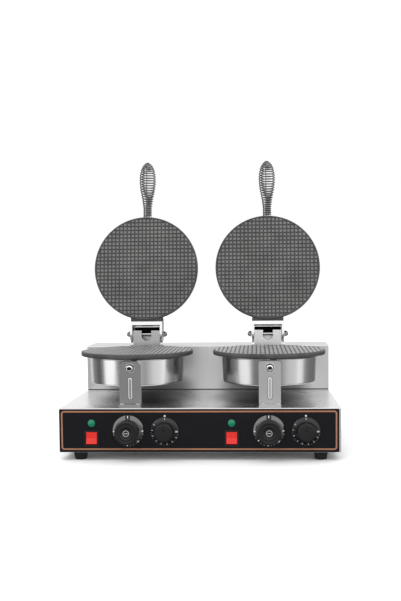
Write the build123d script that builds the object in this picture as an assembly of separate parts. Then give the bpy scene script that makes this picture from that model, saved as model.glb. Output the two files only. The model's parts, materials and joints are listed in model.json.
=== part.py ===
from build123d import *
import os

# Double waffle cone maker. All sizes are in millimetres.
# X runs to the user's right, Y runs from the user to the back, Z is up.
# The origin is on the table, under the centre of the machine with its lids open.

# ---------------------------------------------------------------- driving dimensions
# Base box and rear riser
body_width = 494.0
base_height = 78.0
foot_height = 15.0
front_y = -170.0
rear_y = 168.0
riser_front_y = 76.0
riser_height = 90.0
sheet = 1.5
bend_radius = 2.0
flange_width = 14.0
cover_fit = 0.2
wire_hole_radius = 14.0
bottom_screw_inset_y = 40.0

# Feet
foot_x = 213.0
foot_inset_y = 20.0
foot_top_radius = 13.1
foot_bottom_radius = 10.6
foot_edge_radius = 1.5
foot_recess_radius = 6.0
foot_recess_depth = 6.0
foot_screw_radius = 2.5
foot_screw_head_radius = 4.6
foot_screw_head_height = 3.0
foot_screw_stick_out = 7.0
foot_nut_across_flats = 8.0
foot_nut_height = 4.0

# Baking heads
head_x = 124.3
head_y = -47.5
plate_radius = 105.0
lid_radius = 106.2
plate_edge_radius = 1.0
plate_rim = 8.5
plate_spigot_radius = 85.0
plate_spigot_height = 4.0
plate_face_height = 92.5
baking_gap = 2.0
drum_radius = 88.5
drum_height = 52.0
drum_wall = 1.2
drum_taper = 2.0
drum_corner_radius = 4.5
drum_bead_radius = 1.5
drum_bead_drop = 2.7
heater_radius = 78.0
heater_hole_radius = 20.0
heater_thickness = 6.0
heater_post_radius = 3.0
heater_post_length = 14.0
heater_post_x = 30.0

# Lid hinge
pin_behind_head = 134.2
pin_above_face = 20.8
pin_radius = 3.0
pin_half_length = 36.0
open_lean = 7.5
arm_outer_x = 33.0
arm_thickness = 5.0
arm_radius = 17.0
arm_bore_clearance = 0.05
web_start = 109.2
web_thickness = 8.0
cheek_thickness = 1.4
cheek_length = 9.0
cheek_height = 19.0
lug_width = 63.0
lug_start = 95.0
lug_recess = 2.5
lug_top = 36.0
lug_corner = 3.0
yoke_screw_x = 17.0
yoke_screw_radius = 3.0
yoke_screw_head_radius = 5.5
yoke_screw_length = 22.0
yoke_screw_socket = 4.0
yoke_screw_socket_depth = 3.0
bracket_width = 55.0
bracket_sheet = 3.0
bracket_front = 10.5
bracket_back = 12.0
bracket_above_pin = 8.0
bracket_rear_above_pin = 14.2
bracket_notch_width = 20.0
bracket_notch_bottom = 13.0
bracket_tab = 7.0
bracket_tab_thickness = 2.5
hinge_nut_start = 33.6
hinge_nut_length = 8.0
hinge_nut_hex_length = 4.5
hinge_nut_across_flats = 10.0
hinge_nut_cap_radius = 4.6
hinge_nut_cap_edge = 3.0

# Lid handle
handle_start = 5.0
handle_length = 121.0
handle_height = 22.0
handle_neck_radius = 8.5
handle_bulb_radius = 17.0
handle_tip_radius = 3.6
handle_rod_radius = 4.0
handle_rod_length = 30.0
handle_rod_tip_radius = 2.5
handle_collar_radius = 9.5
handle_collar_length = 6.0
handle_coil_wall = 3.0
handle_boss_width = 26.0
handle_boss_start = 95.0
handle_boss_end = 103.0
handle_boss_top = 34.0
handle_boss_corner = 8.0
handle_rod_depth = 8.0

# Front strap that carries the lower pan, with a pressed rib
strap_width = 39.0
strap_thickness = 3.2
strap_spacer = 1.6
strap_spacer_radius = 7.0
strap_spacer_gap = 0.35
strap_top_gap = 4.6
strap_foot_length = 11.0
strap_corner = 7.0
strap_heel_radius = 2.6
strap_rib_width = 7.5
strap_rib_height = 1.5
strap_rib_edge = 1.35
strap_rib_bottom = 104.0
strap_rib_top = 143.6
strap_bolt_z = 160.3
strap_bolt_radius = 4.0
strap_bolt_clearance = 0.3
strap_bolt_head_radius = 6.5
strap_bolt_head_height = 4.0
strap_bolt_head_gap = 0.3
strap_bolt_in_nut = 4.8
strap_nut_across_flats = 14.0
strap_nut_length = 8.0
strap_nut_dome = 3.0
strap_nut_cap_radius = 6.4
strap_nut_cap_edge = 2.6
strap_washer_radius = 8.5
strap_washer_thickness = 1.5
strap_screw_x = 14.0
small_screw_radius = 2.0
small_screw_head_radius = 3.6
small_screw_head_height = 1.8
small_screw_head_edge = 1.2
small_screw_length = 8.0
strap_screw_length = 6.0

# Rear support of the lower pan
support_width = 40.0
support_thickness = 3.0
support_bottom = 146.0
support_top = 170.0
support_side_height = 14.0

# Control panel
panel_width = 490.0
panel_centre_x = -1.4
panel_thickness = 1.5
panel_margin = 0.6
panel_corner = 1.5
border_inset_x = 3.6
border_inset_z = 4.6
border_line = 2.6
border_height = 0.3
border_corner = 5.0
group_x = 123.0
lamp_x = -66.0
lamp_z = 67.0
lamp_radius = 6.3
lamp_body_radius = 4.8
lamp_body_length = 22.0
lamp_rim_height = 1.2
lamp_rim_width = 0.6
lamp_dome_height = 1.8
switch_x = -66.0
switch_z = 40.0
thermostat_x = -1.0
thermostat_z = 53.6
timer_x = 63.0
timer_z = 52.4

# Rocker switch
rocker_width = 18.8
rocker_height = 21.0
rocker_tilt = 6.0
rocker_proud = 2.4
rocker_back = 4.5
rocker_shoulder = 1.0
rocker_edge_radius = 0.5
rocker_axle_end_gap = 0.3
rocker_pivot_depth = 4.0
rocker_axle_radius = 1.5
rocker_axle_clearance = 0.05
rocker_side_gap = 0.5
rocker_end_gap = 1.3
switch_rim = 1.6
switch_rim_height = 1.2
switch_lip = 0.9
switch_lip_corner = 2.0
switch_pocket_gap = 2.0
switch_body_depth = 26.0
rocker_dish = 1.5
rocker_end_lip = 0.6
tab_width = 6.4
tab_thickness = 0.8
tab_length = 8.0

# Rotary controls
shaft_radius = 3.0
shaft_clearance = 0.05
shaft_length = 14.0
shaft_end_gap = 0.5
bushing_radius = 5.0
control_tab_pitch = 12.0
switch_tab_pitch = 7.0
lamp_tab_pitch = 5.0
lamp_tab_width = 3.0
knob_panel_gap = 1.0
knob_height = 30.0
thermostat_skirt_radius = 27.5
thermostat_skirt_height = 3.0
thermostat_grip_radius = 21.5
thermostat_grip_top_radius = 20.8
timer_knob_height = 22.0
timer_skirt_radius = 25.0
timer_skirt_height = 3.0
timer_grip_radius = 17.0
timer_grip_top_radius = 16.0
knob_shell = 2.5
knob_skirt_edge = 1.2
knob_grip_edge = 2.0
knob_hub_radius = 6.5
control_body_width = 40.0
control_body_height = 34.0
control_body_corner = 4.0
thermostat_body_depth = 30.0
timer_body_depth = 38.0

# Electrical entry
gland_x = 190.0
gland_z = 50.0
gland_length = 32.0
gland_hex = 27.0
gland_hex_length = 9.0
gland_dome_radius = 11.5
gland_dome_rounding = 0.35
gland_thread_radius = 10.0
gland_thread_length = 14.0
gland_bore_radius = 5.0
gland_nut = 26.0
gland_nut_thickness = 5.0
lead_gland_hex = 15.0
lead_gland_hex_length = 6.0
lead_gland_dome_radius = 6.5
lead_gland_nut = 16.0
lead_gland_length = 18.0
lead_gland_bore_radius = 3.0
lead_gland_thread_radius = 6.0
lead_gland_thread_length = 8.0
lead_gland_z = 140.0
terminals = 5
terminal_pitch = 12.0
terminal_depth = 26.0
terminal_height = 20.0
terminal_groove = 1.6
terminal_groove_bottom = 9.0
terminal_hole_radius = 2.0
terminal_hole_height = 6.0
terminal_x = 130.0
terminal_y = 108.0

# How far a cutting shape runs past the sheet that it cuts
overcut = 5.0

# Vents
vent_width = 4.0
vent_length = 36.0
vent_pitch = 11.0
back_vents = 9
bottom_vents = 8

# ---------------------------------------------------------------- derived places
half_width = body_width / 2
base_top = foot_height + base_height
riser_top = base_top + riser_height
housing_front = front_y + panel_thickness
face_z = base_top + plate_face_height
pan_top = face_z - plate_rim
pin_y = head_y + pin_behind_head
pin_z = face_z + pin_above_face
lid_face_z = face_z + baking_gap
swing = 90.0 + open_lean
wall_lean = drum_taper * (pan_top - strap_bolt_z) / drum_height
pan_front_y = head_y - drum_radius + wall_lean
pan_rear_y = head_y + drum_radius
strap_back_y = pan_front_y - strap_spacer
strap_front_y = strap_back_y - strap_thickness
rocker_axis_y = front_y + rocker_pivot_depth
wire_hole_y = (riser_front_y + rear_y) / 2
SIDES = {"left": -1, "right": 1}


# ---------------------------------------------------------------- basic shapes
def block(x0, x1, y0, y1, z0, z1):
    """A box between two corners."""
    centre = ((x0 + x1) / 2, (y0 + y1) / 2, (z0 + z1) / 2)
    return Pos(*centre) * Box(x1 - x0, y1 - y0, z1 - z0)


def disc(radius, z0, z1, x=0.0, y=0.0):
    """An upright cylinder from z0 to z1."""
    return Pos(x, y, (z0 + z1) / 2) * Cylinder(radius, z1 - z0)


def cone(r0, r1, z0, z1, x=0.0, y=0.0):
    """An upright cone frustum with radius r0 at z0 and r1 at z1."""
    return Pos(x, y, (z0 + z1) / 2) * Cone(r0, r1, z1 - z0)


def rod_x(radius, x0, x1, y, z):
    """A cylinder along X."""
    return Pos((x0 + x1) / 2, y, z) * Rot(0, 90, 0) * Cylinder(radius, x1 - x0)


def rod_y(radius, y0, y1, x, z):
    """A cylinder along Y."""
    return Pos(x, (y0 + y1) / 2, z) * Rot(90, 0, 0) * Cylinder(radius, y1 - y0)


def hex_y(across_flats, y0, y1, x, z):
    """A hexagonal bar along Y."""
    outline = RegularPolygon(across_flats / 2, 6, major_radius=False)
    return Pos(x, y1, z) * Rot(90, 0, 0) * extrude(outline, y1 - y0)


def hex_x(across_flats, x0, x1, y, z):
    """A hexagonal bar along X."""
    outline = RegularPolygon(across_flats / 2, 6, major_radius=False)
    return Pos(x0, y, z) * Rot(0, 90, 0) * extrude(outline, x1 - x0)


def dome_cap_y(radius, height, y, x, z):
    """A shallow dome that bulges towards the user from a flat face at y."""
    sphere_radius = (radius ** 2 + height ** 2) / (2 * height)
    ball = Pos(x, y - height + sphere_radius, z) * Sphere(sphere_radius)
    return ball & rod_y(radius, y - height - overcut, y, x, z)


def at_head(shape, side):
    """Moves a piece made over x = 0 to one of the two baking heads."""
    return Pos(SIDES[side] * head_x, 0, 0) * shape


def open_lid(shape):
    """Swings a piece made in the closed position up to the open rest position."""
    hinge = Pos(0, pin_y, pin_z)
    return hinge * Rot(-swing, 0, 0) * hinge.inverse() * shape


def group_place(side, offset):
    """The X place of a control of one side's group."""
    return SIDES[side] * group_x + offset


# ---------------------------------------------------------------- base box
def control_holes(shape, clearance=0.0):
    """Cuts the control cut-outs through a sheet at the front."""
    y0 = front_y - overcut
    y1 = housing_front + sheet + overcut
    for side in SIDES:
        lamp = group_place(side, lamp_x)
        shape -= rod_y(lamp_body_radius + clearance, y0, y1, lamp, lamp_z)
        x = group_place(side, switch_x)
        half_w = rocker_width / 2 + rocker_side_gap + switch_rim + clearance
        half_h = rocker_height / 2 + rocker_end_gap + switch_rim + clearance
        shape -= block(x - half_w, x + half_w, y0, y1, switch_z - half_h, switch_z + half_h)
        for offset, z in ((thermostat_x, thermostat_z), (timer_x, timer_z)):
            shape -= rod_y(bushing_radius + clearance, y0, y1, group_place(side, offset), z)
    return shape


def foot_places():
    """The four foot positions."""
    ys = (front_y + foot_inset_y, rear_y - foot_inset_y)
    return [(x, y) for x in (-foot_x, foot_x) for y in ys]


def bottom_screw_places():
    """The screws that hold the bottom cover to the housing flanges."""
    inset = sheet + flange_width / 2
    xs = (-half_width + inset, half_width - inset)
    far = inset + bottom_screw_inset_y
    ys = (housing_front + far, 0.0, rear_y - far)
    return [(x, y) for x in xs for y in ys]


def base_housing():
    """The folded steel box, open below, with a return flange for the bottom cover."""
    shell = block(-half_width, half_width, housing_front, rear_y, foot_height, base_top)
    shell = fillet(shell.edges().filter_by(Axis.Z), bend_radius)
    shell = fillet(shell.faces().sort_by(Axis.Z)[-1].edges(), bend_radius)
    x = half_width - sheet
    y0 = housing_front + sheet
    y1 = rear_y - sheet
    flange_z = foot_height + sheet
    shell -= block(-x, x, y0, y1, flange_z + sheet, base_top - sheet)
    shell -= block(-x, x, y0, y1, foot_height - overcut, flange_z)
    inner_x = x - flange_width
    shell -= block(-inner_x, inner_x, y0, y1, foot_height, flange_z + 2 * sheet)
    for side in SIDES.values():
        shell -= disc(wire_hole_radius, base_top - overcut, base_top + overcut, side * head_x, wire_hole_y)
    shell -= rod_y(gland_thread_radius, rear_y - overcut, rear_y + overcut, gland_x, gland_z)
    for x, y in bottom_screw_places():
        shell -= disc(small_screw_radius, foot_height, flange_z + 2 * sheet, x, y)
    for x, y in strap_screw_places():
        shell -= disc(small_screw_radius, base_top - overcut, base_top + overcut, x, y)
    return control_holes(shell)


def bottom_cover():
    """The flat steel cover under the base, with vents and holes for the feet."""
    x = half_width - sheet - cover_fit
    y0 = housing_front + sheet + cover_fit
    y1 = rear_y - sheet - cover_fit
    plate = block(-x, x, y0, y1, foot_height, foot_height + sheet)
    for px, py in foot_places():
        plate -= disc(foot_screw_radius, foot_height - overcut, foot_height + sheet + overcut, px, py)
    for px, py in bottom_screw_places():
        plate -= disc(small_screw_radius, foot_height - overcut, foot_height + sheet + overcut, px, py)
    for side in SIDES.values():
        for i in range(bottom_vents):
            vx = side * head_x + (i - (bottom_vents - 1) / 2) * vent_pitch
            slot = SlotOverall(vent_length, vent_width)
            slot = Pos(vx, 0, foot_height - overcut) * Rot(0, 0, 90) * extrude(slot, 2 * overcut)
            plate -= slot
    return plate


def front_panel():
    """The black control panel that is stuck on the front of the base."""
    x0 = panel_centre_x - panel_width / 2
    x1 = panel_centre_x + panel_width / 2
    z0 = foot_height + panel_margin
    z1 = base_top - panel_margin - bend_radius / 2
    panel = block(x0, x1, front_y, housing_front, z0, z1)
    panel = fillet(panel.edges().filter_by(Axis.Y), panel_corner)
    return control_holes(panel)


def panel_border():
    """The thin raised coloured line that frames the control panel."""
    width = panel_width - 2 * border_inset_x
    height = base_height - 2 * border_inset_z
    outer = RectangleRounded(width, height, border_corner)
    inner_width = width - 2 * border_line
    inner_height = height - 2 * border_line
    inner = RectangleRounded(inner_width, inner_height, border_corner - border_line)
    ring = extrude(outer - inner, border_height)
    return Pos(panel_centre_x, front_y, foot_height + base_height / 2) * Rot(90, 0, 0) * ring


def rubber_feet():
    """Four tapered feet, each with a recess for its screw head."""
    feet = []
    for x, y in foot_places():
        foot = cone(foot_bottom_radius, foot_top_radius, 0, foot_height, x, y)
        foot = fillet(foot.edges().sort_by(Axis.Z)[0], foot_edge_radius)
        foot -= disc(foot_recess_radius, -overcut, foot_recess_depth, x, y)
        foot -= disc(foot_screw_radius, 0, foot_height + overcut, x, y)
        feet.append(foot)
    return Compound(children=feet)


def foot_screws():
    """The screw and nut of each foot."""
    pieces = []
    for x, y in foot_places():
        head_z = foot_recess_depth - foot_screw_head_height
        head = disc(foot_screw_head_radius, head_z, foot_recess_depth, x, y)
        top = foot_height + sheet + foot_screw_stick_out
        pieces.append(head + disc(foot_screw_radius, foot_recess_depth, top, x, y))
        nut = extrude(RegularPolygon(foot_nut_across_flats / 2, 6, major_radius=False), foot_nut_height)
        nut = Pos(x, y, foot_height + sheet) * nut
        pieces.append(nut - disc(foot_screw_radius, foot_height, top, x, y))
    return Compound(children=pieces)


# ---------------------------------------------------------------- rear riser
def back_screw_places():
    """The screws that hold the back cover of the riser."""
    inset = sheet + flange_width / 2
    xs = (-half_width + inset, 0.0, half_width - inset)
    return [(x, z) for x in xs for z in (base_top + inset, riser_top - inset)]


def rear_riser():
    """The raised steel box at the back, open to the rear and to the base below."""
    shell = block(-half_width, half_width, riser_front_y, rear_y, base_top, riser_top)
    front_top = shell.edges().filter_by(Axis.X).group_by(Axis.Y)[0].sort_by(Axis.Z)[-1]
    shell = fillet(front_top, bend_radius)
    x = half_width - sheet
    y0 = riser_front_y + sheet
    flange_y = rear_y - sheet
    inner_x = x - flange_width
    floor = base_top + sheet
    shell -= block(-x, x, y0, flange_y - sheet, floor, riser_top - sheet)
    shell -= block(-x, x, flange_y, rear_y + overcut, floor, riser_top - sheet)
    shell -= block(-inner_x, inner_x, flange_y - overcut, rear_y + overcut, floor + flange_width,
                   riser_top - sheet - flange_width)
    for side in SIDES.values():
        shell -= disc(wire_hole_radius, base_top - overcut, base_top + overcut, side * head_x, wire_hole_y)
    for sx, sz in back_screw_places():
        shell -= rod_y(small_screw_radius, flange_y - overcut, rear_y, sx, sz)
    return shell


def riser_back_cover():
    """The flat cover at the back of the riser, with vents and lead holes."""
    x = half_width - sheet - cover_fit
    z0 = base_top + sheet + cover_fit
    z1 = riser_top - sheet - cover_fit
    plate = block(-x, x, rear_y - sheet, rear_y, z0, z1)
    for sx, sz in back_screw_places():
        plate -= rod_y(small_screw_radius, rear_y - overcut, rear_y + overcut, sx, sz)
    for side in SIDES.values():
        x = side * head_x
        plate -= rod_y(lead_gland_thread_radius, rear_y - overcut, rear_y + overcut, x, lead_gland_z)
    slot = Rot(90, 0, 0) * extrude(SlotOverall(vent_length, vent_width), overcut, both=True)
    slot = Rot(0, 90, 0) * slot
    for i in range(back_vents):
        vx = (i - (back_vents - 1) / 2) * vent_pitch
        plate -= Pos(vx, rear_y, (base_top + riser_top) / 2) * slot
    return plate


def cover_screws():
    """The small pan-head screws of the bottom cover and the back cover."""
    screws = []
    for x, y in bottom_screw_places():
        z0 = foot_height - small_screw_head_height
        head = disc(small_screw_head_radius, z0, foot_height, x, y)
        shank = disc(small_screw_radius, foot_height, foot_height + small_screw_length, x, y)
        screws.append(head + shank)
    for x, z in back_screw_places():
        head = rod_y(small_screw_head_radius, rear_y, rear_y + small_screw_head_height, x, z)
        screws.append(head + rod_y(small_screw_radius, rear_y - small_screw_length, rear_y, x, z))
    return Compound(children=screws)


def hollow_gland(x, z, hexagon, dome_radius, length, thread, bore, nut):
    """A cable gland on the rear wall, with its lock nut inside the wall."""
    hex_size, hex_length = hexagon
    thread_radius, thread_length = thread
    body = hex_y(hex_size, rear_y, rear_y + hex_length, x, z)
    barrel = rod_y(dome_radius, rear_y + hex_length, rear_y + length, x, z)
    tip = barrel.edges().sort_by(Axis.Y)[-1]
    body += fillet(tip, dome_radius * gland_dome_rounding)
    nut_y = rear_y - sheet
    thread_end = nut_y - thread_length
    body += rod_y(thread_radius, thread_end, rear_y, x, z)
    body -= rod_y(bore, thread_end - overcut, rear_y + length + overcut, x, z)
    lock = hex_y(nut, nut_y - gland_nut_thickness, nut_y, x, z)
    lock -= rod_y(thread_radius, thread_end - overcut, nut_y + overcut, x, z)
    return body, lock


def cable_gland():
    """The mains cable gland at the back of the base."""
    pieces = hollow_gland(gland_x, gland_z, (gland_hex, gland_hex_length), gland_dome_radius,
                          gland_length, (gland_thread_radius, gland_thread_length),
                          gland_bore_radius, gland_nut)
    return Compound(children=list(pieces))


def lead_glands():
    """The two small glands for the leads that go to the lids."""
    pieces = []
    for side in SIDES.values():
        pieces += hollow_gland(side * head_x, lead_gland_z, (lead_gland_hex, lead_gland_hex_length),
                               lead_gland_dome_radius, lead_gland_length,
                               (lead_gland_thread_radius, lead_gland_thread_length),
                               lead_gland_bore_radius, lead_gland_nut)
    return Compound(children=pieces)


def terminal_block():
    """The ceramic mains terminal block inside the base."""
    z0 = foot_height + sheet
    width = terminals * terminal_pitch
    x0 = terminal_x - width / 2
    y0 = terminal_y - terminal_depth / 2
    y1 = terminal_y + terminal_depth / 2
    strip = block(x0, x0 + width, y0, y1, z0, z0 + terminal_height)
    groove = terminal_groove / 2
    for i in range(1, terminals):
        x = x0 + i * terminal_pitch
        strip -= block(x - groove, x + groove, y0 - overcut, y1 + overcut,
                       z0 + terminal_groove_bottom, z0 + terminal_height + overcut)
    for i in range(terminals):
        x = x0 + (i + 0.5) * terminal_pitch
        strip -= rod_y(terminal_hole_radius, y0 - overcut, y1 + overcut, x, z0 + terminal_hole_height)
    return strip


# ---------------------------------------------------------------- controls on the panel
def lamp_lenses():
    """The domed green lenses of the two pilot lamps."""
    lenses = []
    for side in SIDES:
        x = group_place(side, lamp_x)
        rim_y = front_y - lamp_rim_height
        rim = rod_y(lamp_radius, rim_y, front_y, x, lamp_z)
        lenses.append(rim + dome_cap_y(lamp_radius - lamp_rim_width, lamp_dome_height,
                                       rim_y, x, lamp_z))
    return Compound(children=lenses)


def lamp_bodies():
    """The barrels of the pilot lamps with their terminals."""
    bodies = []
    for side in SIDES:
        x = group_place(side, lamp_x)
        body_end = front_y + lamp_body_length
        body = rod_y(lamp_body_radius, front_y, body_end, x, lamp_z)
        for tab_x in (x - lamp_tab_pitch / 2, x + lamp_tab_pitch / 2):
            body += tab(tab_x, body_end, lamp_z, tab_thickness, lamp_tab_width)
        bodies.append(body)
    return Compound(children=bodies)


def tab(x, y, z, width, height):
    """A flat terminal tab that points backwards from y."""
    return block(x - width / 2, x + width / 2, y, y + tab_length, z - height / 2, z + height / 2)


def switch_housing(side):
    """The black snap-in frame that holds the rocker."""
    x = group_place(side, switch_x)
    half_w = rocker_width / 2 + rocker_side_gap
    half_h = rocker_height / 2 + rocker_end_gap
    outer_w = half_w + switch_rim
    outer_h = half_h + switch_rim
    rim_y = front_y - switch_rim_height
    y1 = front_y + switch_body_depth
    frame = block(x - outer_w, x + outer_w, front_y, y1, switch_z - outer_h, switch_z + outer_h)
    lip_w = outer_w + switch_lip
    lip_h = outer_h + switch_lip
    lip = block(x - lip_w, x + lip_w, rim_y, front_y, switch_z - lip_h, switch_z + lip_h)
    frame += fillet(lip.edges().filter_by(Axis.Y), switch_lip_corner)
    pocket = rocker_axis_y + rocker_back + switch_pocket_gap
    frame -= block(x - half_w, x + half_w, rim_y - overcut, pocket,
                   switch_z - half_h, switch_z + half_h)
    hole = rocker_axle_radius + rocker_axle_clearance
    frame -= rod_x(hole, x - outer_w, x + outer_w, rocker_axis_y, switch_z)
    for i in (-1, 0, 1):
        frame += tab(x, y1, switch_z + i * switch_tab_pitch, tab_width, tab_thickness)
    return frame


def rocker(side):
    """The red rocker, tilted to its off position, on two stub axles."""
    x = group_place(side, switch_x)
    half_w = rocker_width / 2
    half_h = rocker_height / 2
    depth = rocker_pivot_depth + rocker_proud
    middle = rocker_dish - rocker_end_lip - depth
    tip = -rocker_end_lip - depth
    outline = make_face(Polyline(
        (tip, half_h - rocker_end_lip), (middle, 0), (tip, rocker_end_lip - half_h),
        (-depth, -half_h), (rocker_shoulder, -half_h), (rocker_back, -half_h / 2),
        (rocker_back, half_h / 2), (rocker_shoulder, half_h), (-depth, half_h), close=True))
    body = extrude(Plane.YZ * outline, half_w, both=True)
    front_edges = body.edges().filter_by(Axis.Z, tolerance=15).group_by(Axis.Y)[0]
    body = fillet(front_edges, rocker_edge_radius)
    axle_end = half_w + rocker_side_gap + switch_rim - rocker_axle_end_gap
    body += rod_x(rocker_axle_radius, -axle_end, axle_end, 0, 0)
    return Pos(x, rocker_axis_y, switch_z) * Rot(-rocker_tilt, 0, 0) * body


def rotary_body(x, z, depth):
    """The body of a rotary control, with its bushing, panel nut and shaft."""
    wall = housing_front + sheet
    half_w = control_body_width / 2
    half_h = control_body_height / 2
    body = block(x - half_w, x + half_w, wall, wall + depth, z - half_h, z + half_h)
    body = fillet(body.edges().filter_by(Axis.Y), control_body_corner)
    body += rod_y(bushing_radius, front_y, wall, x, z)
    body += rod_y(shaft_radius, front_y - shaft_length, front_y, x, z)
    for i in (-1, 0, 1):
        body += tab(x + i * control_tab_pitch, wall + depth, z, tab_width, tab_thickness)
    return body


def knob(x, z, height, skirt, grip):
    """A hollow knob: a skirt disc, a round grip and a hub on the control's shaft."""
    skirt_radius, skirt_height = skirt
    grip_radius, grip_top_radius = grip
    y1 = front_y - knob_panel_gap
    y0 = front_y - height
    skirt_disc = rod_y(skirt_radius, y1 - skirt_height, y1, x, z)
    skirt_disc = fillet(skirt_disc.edges().sort_by(Axis.Y)[0], knob_skirt_edge)
    length = y1 - skirt_height - y0
    core = Pos(x, y0 + length / 2, z) * Rot(90, 0, 0) * Cone(grip_radius, grip_top_radius, length)
    core = fillet(core.edges().sort_by(Axis.Y)[0], knob_grip_edge)
    body = skirt_disc + core
    body -= rod_y(grip_top_radius - knob_shell, y0 + knob_shell, y1 + overcut, x, z)
    body += rod_y(knob_hub_radius, y0 + knob_shell, y1, x, z)
    bore_end = front_y - shaft_length - shaft_end_gap
    return body - rod_y(shaft_radius + shaft_clearance, bore_end, y1 + overcut, x, z)


def thermostat_knob(side):
    """The large temperature knob."""
    return knob(group_place(side, thermostat_x), thermostat_z, knob_height,
                (thermostat_skirt_radius, thermostat_skirt_height),
                (thermostat_grip_radius, thermostat_grip_top_radius))


def timer_knob(side):
    """The smaller timer knob."""
    return knob(group_place(side, timer_x), timer_z, timer_knob_height,
                (timer_skirt_radius, timer_skirt_height),
                (timer_grip_radius, timer_grip_top_radius))


# ---------------------------------------------------------------- lower head
def lower_plate():
    """The cast lower baking plate: a thick rim over a spigot that sits in the pan."""
    plate = disc(plate_radius, face_z - plate_rim, face_z, 0, head_y)
    plate = fillet(plate.edges(), plate_edge_radius)
    return plate + disc(plate_spigot_radius, pan_top - plate_spigot_height, pan_top, 0, head_y)


def pan(z_open, direction):
    """A round tapered pan with a bead near its open edge; direction is where its floor lies."""
    z_closed = z_open + direction * drum_height
    small = drum_radius - drum_taper
    solid = tapered(z_open, z_closed, drum_radius, small, drum_corner_radius)
    inner_floor = z_closed - direction * drum_wall
    cavity = tapered(z_open, inner_floor, drum_radius - drum_wall, small - drum_wall,
                     drum_corner_radius - drum_wall)
    bead = Pos(0, head_y, z_open + direction * drum_bead_drop) * Torus(drum_radius, drum_bead_radius)
    return solid + bead - cavity


def tapered(z_open, z_closed, open_radius, closed_radius, corner_radius):
    """A solid round frustum with a rounded edge at its closed end."""
    if z_closed < z_open:
        solid = cone(closed_radius, open_radius, z_closed, z_open, 0, head_y)
        closed_edge = solid.edges().filter_by(GeomType.CIRCLE).sort_by(Axis.Z)[0]
    else:
        solid = cone(open_radius, closed_radius, z_open, z_closed, 0, head_y)
        closed_edge = solid.edges().filter_by(GeomType.CIRCLE).sort_by(Axis.Z)[-1]
    return fillet(closed_edge, corner_radius)


def lower_drum():
    """The steel pan under the lower plate, with holes for its two fixings."""
    shell = pan(pan_top, -1)
    hole = strap_bolt_radius + strap_bolt_clearance
    return shell - rod_y(hole, pan_front_y - overcut, pan_front_y + overcut, 0, strap_bolt_z)


def heater(z_plate, direction):
    """A ring heater against a plate's back, with two terminal posts."""
    z0, z1 = sorted((z_plate, z_plate + direction * heater_thickness))
    ring = disc(heater_radius, z0, z1, 0, head_y)
    ring -= disc(heater_hole_radius, z0 - overcut, z1 + overcut, 0, head_y)
    tip = z_plate + direction * (heater_thickness + heater_post_length)
    post_z0, post_z1 = sorted((z_plate + direction * heater_thickness, tip))
    for x in (-heater_post_x, heater_post_x):
        ring += disc(heater_post_radius, post_z0, post_z1, x, head_y)
    return ring


def lower_heater():
    """The heater of the lower plate."""
    return heater(pan_top - plate_spigot_height, -1)


def strap_screw_places():
    """The screws that hold the strap feet to the top of the base."""
    y = strap_front_y - strap_foot_length / 2
    xs = [s * head_x + dx for s in SIDES.values() for dx in (-strap_screw_x, strap_screw_x)]
    return [(x, y) for x in xs]


def front_strap(side):
    """The upright ribbed strap that carries the front of the lower pan."""
    half = strap_width / 2
    top = pan_top - strap_top_gap
    strap = block(-half, half, strap_front_y, strap_back_y, base_top, top)
    corners = strap.edges().filter_by(Axis.Y).group_by(Axis.Z)[-1]
    if side == "left":
        strap = chamfer(corners, strap_corner)
    else:
        strap = fillet(corners, strap_corner)
    foot_y = strap_front_y - strap_foot_length
    strap += block(-half, half, foot_y, strap_back_y, base_top, base_top + strap_thickness)
    heel = strap.edges().filter_by(Axis.X).group_by(Axis.Y)[-1].sort_by(Axis.Z)[0]
    strap = fillet(heel, strap_heel_radius)
    rib = SlotOverall(strap_rib_top - strap_rib_bottom, strap_rib_width, rotation=90)
    rib = Rot(90, 0, 0) * extrude(rib, strap_rib_height)
    rib = fillet(rib.edges().group_by(Axis.Y)[0], strap_rib_edge)
    strap += Pos(0, strap_front_y, (strap_rib_top + strap_rib_bottom) / 2) * rib
    hole = strap_bolt_radius + strap_bolt_clearance
    strap -= rod_y(hole, strap_front_y - overcut, strap_back_y + overcut, 0, strap_bolt_z)
    strap = at_head(strap, side)
    for x, y in strap_screw_places():
        strap -= disc(small_screw_radius, base_top - overcut, base_top + overcut, x, y)
    return strap


def strap_screws():
    """The screws of both strap feet."""
    screws = []
    z = base_top + strap_thickness
    for x, y in strap_screw_places():
        head = disc(small_screw_head_radius, z, z + small_screw_head_height, x, y)
        head = fillet(head.edges().sort_by(Axis.Z)[-1], small_screw_head_edge)
        screws.append(head + disc(small_screw_radius, base_top - strap_screw_length, z, x, y))
    return Compound(children=screws)


def strap_bolts():
    """The bolts that run from inside each pan through its strap."""
    bolts = []
    for side in SIDES:
        head_front = pan_front_y + drum_wall + strap_bolt_head_gap
        head_back = head_front + strap_bolt_head_height
        bolt = rod_y(strap_bolt_head_radius, head_front, head_back, 0, strap_bolt_z)
        end = strap_front_y - strap_washer_thickness - strap_bolt_in_nut
        bolt += rod_y(strap_bolt_radius, end, head_front, 0, strap_bolt_z)
        bolts.append(at_head(bolt, side))
    return Compound(children=bolts)


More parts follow.
